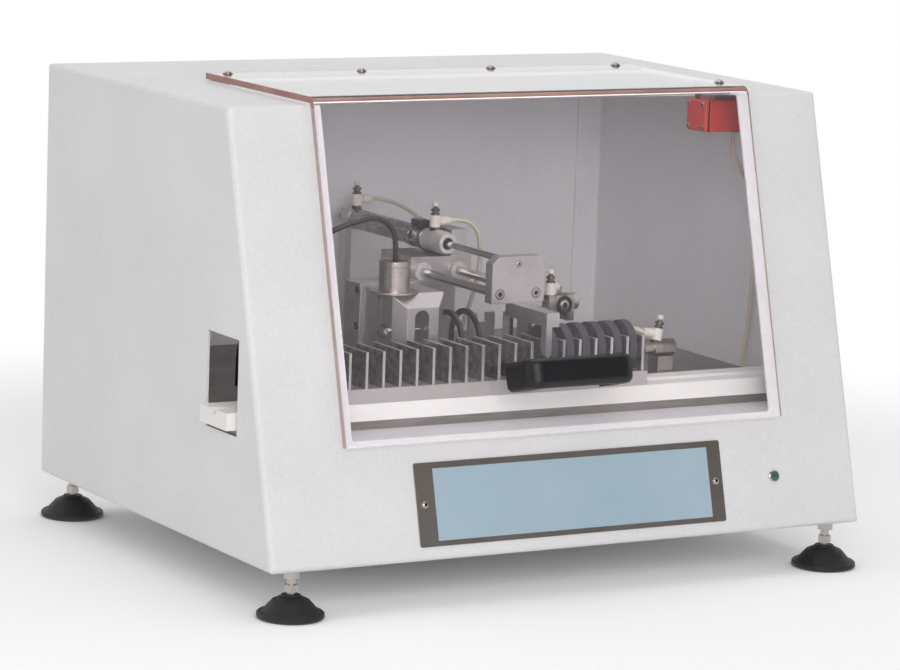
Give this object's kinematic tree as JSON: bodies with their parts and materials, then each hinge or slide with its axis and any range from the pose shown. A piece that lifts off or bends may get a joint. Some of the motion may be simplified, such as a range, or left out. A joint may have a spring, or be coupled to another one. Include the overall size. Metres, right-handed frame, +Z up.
{
  "type": "bench hardness tester",
  "caption": "Bench hardness tester: white sloping-front cabinet with a clear hinged lid, a finned disc magazine on a rail, a puller, a test head and levelling feet.",
  "frame": {"origin": "on the bench under the middle of the cabinet, at the underside of the feet", "axes": "+Z up, +X to the right as seen from the front, +Y towards the rear, the sloping front and lid face -Y"},
  "size_m": [0.611, 0.494, 0.4322],
  "materials": {
    "painted": "orange peel powder coat",
    "steel": "satin",
    "chrome": "polished",
    "aluminium": "milled",
    "white_plastic": "matte",
    "cream_plastic": "semi gloss",
    "black_plastic": "fine grain",
    "black_rubber": "matte",
    "disc_rubber": "matte",
    "red_plastic": "semi gloss",
    "green_lens": "clear",
    "clear_sheet": "polished clear acrylic",
    "tubing": "translucent",
    "cable": "matte",
    "beige_cable": "matte",
    "dark_guide": "matte"
  },
  "bodies": {
    "root": {"cabinet_shell": "painted", "rear_panel": "painted", "deck_plate": "painted", "floor_plate": "aluminium", "slide_rail": "white_plastic", "nameplate": "steel", "nameplate_screws": "steel", "lamp_bezel": "chrome", "lamp_lens": "green_lens", "hinge_fixed_leaf": "steel", "hinge_pin": "steel", "safety_switch": "red_plastic", "switch_gland": "black_plastic", "switch_cable": "beige_cable", "lid_sensor": "cream_plastic", "foot_studs": "steel", "foot_nuts": "steel", "power_inlet": "black_plastic", "air_inlet": "chrome", "bearing_stand": "aluminium", "bearing_block": "aluminium", "rod_bushings": "white_plastic", "cylinder_bracket": "steel", "cylinder_tube": "steel", "cylinder_caps": "aluminium", "clevis_post": "aluminium", "flow_controls": "cream_plastic", "air_tubes": "tubing", "head_column": "aluminium", "head_block": "aluminium", "head_top_plate": "aluminium", "load_cell_cup": "steel", "head_cable": "cable", "transfer_lane": "aluminium", "lane_guides": "dark_guide", "lane_stop": "aluminium", "transfer_cylinder": "steel", "index_cylinder": "steel", "power_supply": "aluminium", "valve_manifold": "aluminium"},
    "lid": {"lid_shell": "clear_sheet", "lid_handle": "black_plastic", "hinge_moving_leaf": "steel", "lid_screws": "steel", "interlock_key": "steel"},
    "magazine": {"magazine_base": "aluminium", "magazine_fins": "aluminium", "sample_discs": "disc_rubber"},
    "puller": {"puller_plate": "aluminium", "puller_arm": "aluminium", "guide_rods": "chrome", "piston_rod": "chrome"},
    "foot_front_left": {"foot_pad_front_left": "black_rubber"},
    "foot_front_right": {"foot_pad_front_right": "black_rubber"},
    "foot_rear_left": {"foot_pad_rear_left": "black_rubber"},
    "foot_rear_right": {"foot_pad_rear_right": "black_rubber"},
    "indenter": {"indenter": "chrome"},
    "transfer": {"transfer_rod": "chrome"},
    "index": {"index_rod": "steel"},
    "rocker": {"power_rocker": "black_plastic"}
  },
  "joints": [
    {"name": "lid_hinge", "type": "hinge", "parent": "root", "child": "lid", "pos_m": [0, 0.06825, 0.4241], "axis": [-1, 0, 0], "range_deg": [0, 100]},
    {"name": "magazine_slide", "type": "slide", "parent": "root", "child": "magazine", "axis": [1, 0, 0], "range_m": [-0.2, 0.182]},
    {"name": "puller_slide", "type": "slide", "parent": "root", "child": "puller", "axis": [0, 1, 0], "range_m": [0, 0.06]},
    {"name": "transfer_slide", "type": "slide", "parent": "root", "child": "transfer", "axis": [-1, 0, 0], "range_m": [0, 0.034]},
    {"name": "index_slide", "type": "slide", "parent": "root", "child": "index", "axis": [-1, 0, 0], "range_m": [0, 0.0165]},
    {"name": "indenter_slide", "type": "slide", "parent": "root", "child": "indenter", "axis": [1, 0, 0], "range_m": [0, 0.004]},
    {"name": "rocker_tilt", "type": "hinge", "parent": "root", "child": "rocker", "pos_m": [-0.21, 0.2295, 0.11325], "axis": [1, 0, 0], "range_deg": [0, 14]},
    {"name": "foot_front_left_turn", "type": "hinge", "parent": "root", "child": "foot_front_left", "pos_m": [-0.273, -0.218, 0], "axis": [0, 0, 1], "continuous": true},
    {"name": "foot_front_right_turn", "type": "hinge", "parent": "root", "child": "foot_front_right", "pos_m": [0.273, -0.218, 0], "axis": [0, 0, 1], "continuous": true},
    {"name": "foot_rear_left_turn", "type": "hinge", "parent": "root", "child": "foot_rear_left", "pos_m": [-0.273, 0.218, 0], "axis": [0, 0, 1], "continuous": true},
    {"name": "foot_rear_right_turn", "type": "hinge", "parent": "root", "child": "foot_rear_right", "pos_m": [0.273, 0.218, 0], "axis": [0, 0, 1], "continuous": true}
  ]
}
